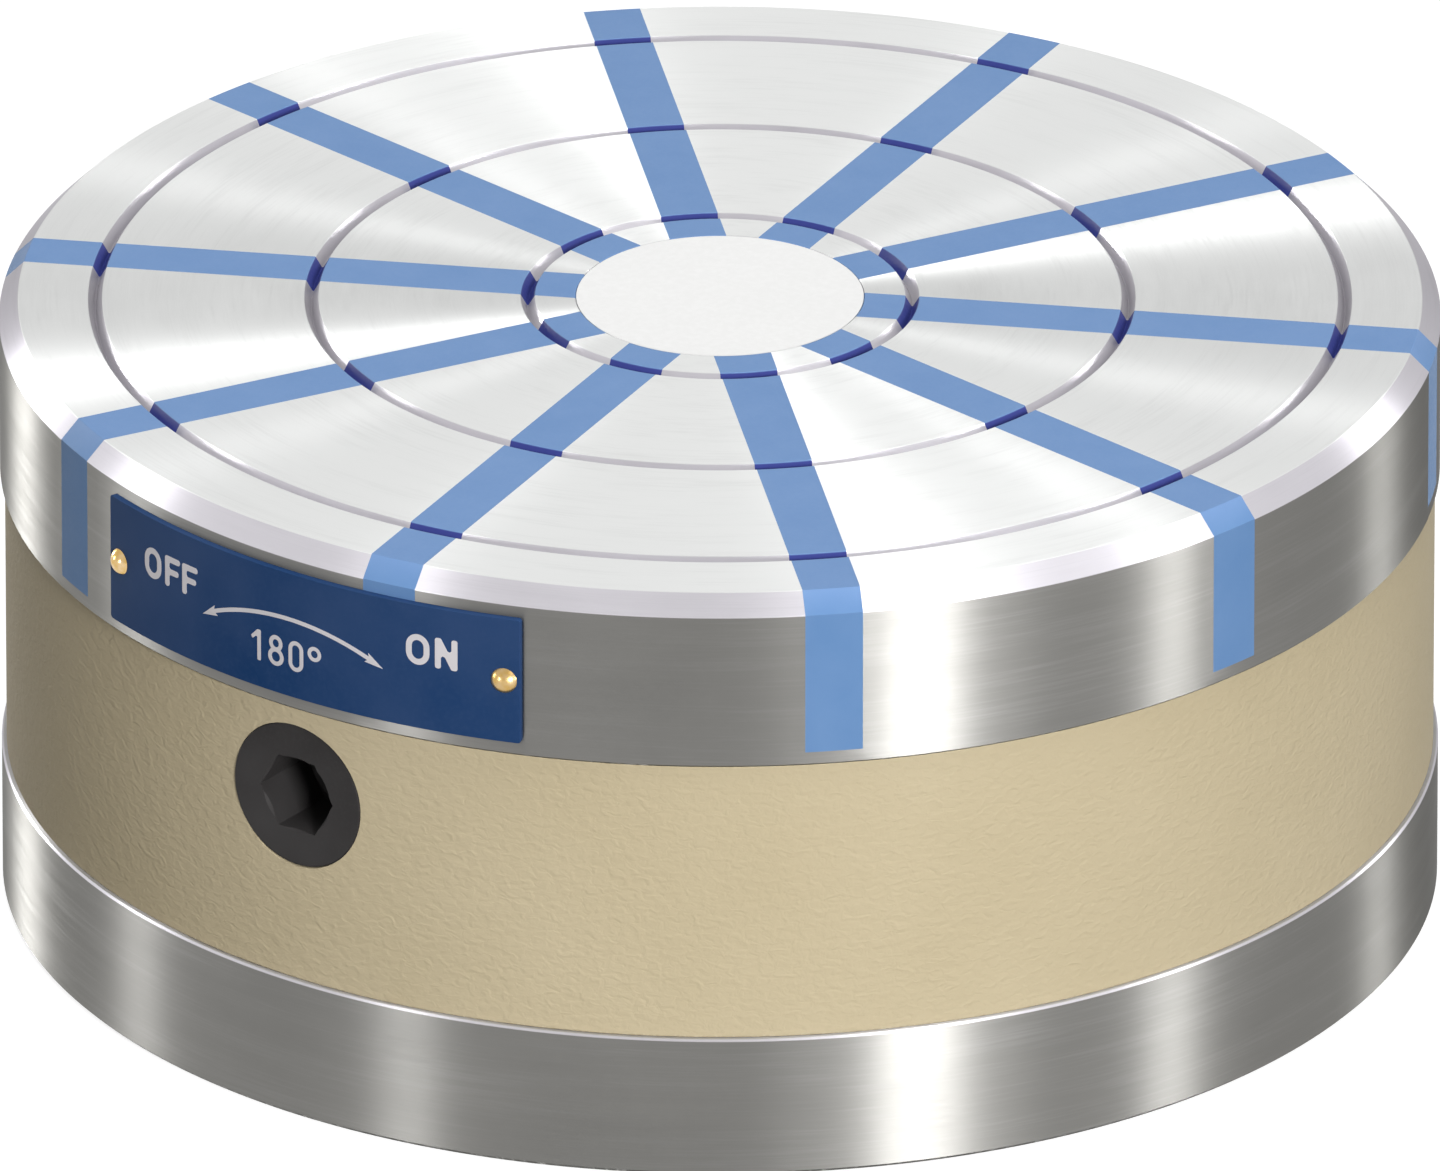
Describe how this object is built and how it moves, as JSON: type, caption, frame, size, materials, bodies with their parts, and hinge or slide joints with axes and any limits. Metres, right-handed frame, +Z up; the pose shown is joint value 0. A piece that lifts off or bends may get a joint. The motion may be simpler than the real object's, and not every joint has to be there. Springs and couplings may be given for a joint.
{
  "type": "magnetic chuck",
  "caption": "Round permanent-magnet chuck with radial poles, centring grooves and a hexagon-key switch that swings the magnet pack below the poles.",
  "frame": {"origin": "centre of the bottom face, in the mouth of the centring recess", "axes": "+Z up to the clamping face, -Y towards the key socket and the nameplate"},
  "size_m": [0.15, 0.1507, 0.0655],
  "materials": {
    "ground_steel": "turned and ground, bright",
    "pole_steel": "face ground, rim fine turned",
    "housing_paint": "beige fine-textured paint, satin",
    "plug_metal": "fine ground",
    "gap_resin": "ground flush, satin",
    "nameplate_enamel": "dark blue enamel, pale lettering",
    "rivet_brass": "polished",
    "black_screw": "black oxide",
    "black_oxide": "black oxide, satin",
    "hard_steel": "hardened and ground",
    "gear_steel": "milled teeth",
    "yoke_steel": "turned",
    "bearing_brass": "plain",
    "bronze": "turned",
    "spider_aluminium": "milled",
    "magnet_north": "sintered, dark grey",
    "magnet_south": "sintered, dark grey",
    "seal_rubber": "smooth"
  },
  "bodies": {
    "chuck_body": {"base_plate": "ground_steel", "pole_plate": "pole_steel", "housing_ring": "housing_paint", "centre_plug": "plug_metal", "nameplate": "nameplate_enamel", "nameplate_rivets": "rivet_brass", "body_screws": "black_screw", "dowel_pins": "hard_steel", "pivot_pin": "hard_steel", "retaining_ring": "hard_steel", "bearing_washer_lower": "hard_steel", "key_bush": "bronze", "stop_screw": "black_screw", "base_seal": "seal_rubber", "pole_gap_01": "gap_resin", "pole_gap_02": "gap_resin", "pole_gap_03": "gap_resin", "pole_gap_04": "gap_resin", "pole_gap_05": "gap_resin", "pole_gap_06": "gap_resin", "pole_gap_07": "gap_resin", "pole_gap_08": "gap_resin", "pole_gap_09": "gap_resin", "pole_gap_10": "gap_resin"},
    "rotor": {"rotor_yoke": "yoke_steel", "rotor_spider": "spider_aluminium", "rotor_bush": "bronze", "thrust_washer": "bronze", "hub_screws": "black_screw", "segment_screws": "black_screw", "toothed_segment": "gear_steel", "bearing_washer_upper": "hard_steel", "magnet_01": "magnet_north", "magnet_02": "magnet_south", "magnet_03": "magnet_north", "magnet_04": "magnet_south", "magnet_05": "magnet_north", "magnet_06": "magnet_south", "magnet_07": "magnet_north", "magnet_08": "magnet_south", "magnet_09": "magnet_north", "magnet_10": "magnet_south", "rotor_pole_01": "yoke_steel", "rotor_pole_02": "yoke_steel", "rotor_pole_03": "yoke_steel", "rotor_pole_04": "yoke_steel", "rotor_pole_05": "yoke_steel", "rotor_pole_06": "yoke_steel", "rotor_pole_07": "yoke_steel", "rotor_pole_08": "yoke_steel", "rotor_pole_09": "yoke_steel", "rotor_pole_10": "yoke_steel"},
    "key": {"key_shaft": "black_oxide", "bevel_pinion": "gear_steel", "pinion_pin": "hard_steel", "shaft_seal": "seal_rubber"},
    "cage": {"bearing_cage": "bearing_brass", "bearing_needles": "hard_steel"}
  },
  "joints": [
    {"name": "rotor_turn", "type": "hinge", "parent": "chuck_body", "child": "rotor", "pos_m": [0, 0, 0.022], "axis": [0, 0, 1], "range_deg": [-18, 0]},
    {"name": "key_turn", "type": "hinge", "parent": "chuck_body", "child": "key", "pos_m": [0, -0.0643, 0.0364], "axis": [0, 1, 0], "range_deg": [0, 180]},
    {"name": "cage_turn", "type": "hinge", "parent": "chuck_body", "child": "cage", "pos_m": [0, 0, 0.016], "axis": [0, 0, 1], "range_deg": [-9, 0]}
  ],
  "couplings": [
    {"joint": "key_turn", "follows": "rotor_turn", "ratio": -10},
    {"joint": "cage_turn", "follows": "rotor_turn", "ratio": 0.5}
  ]
}
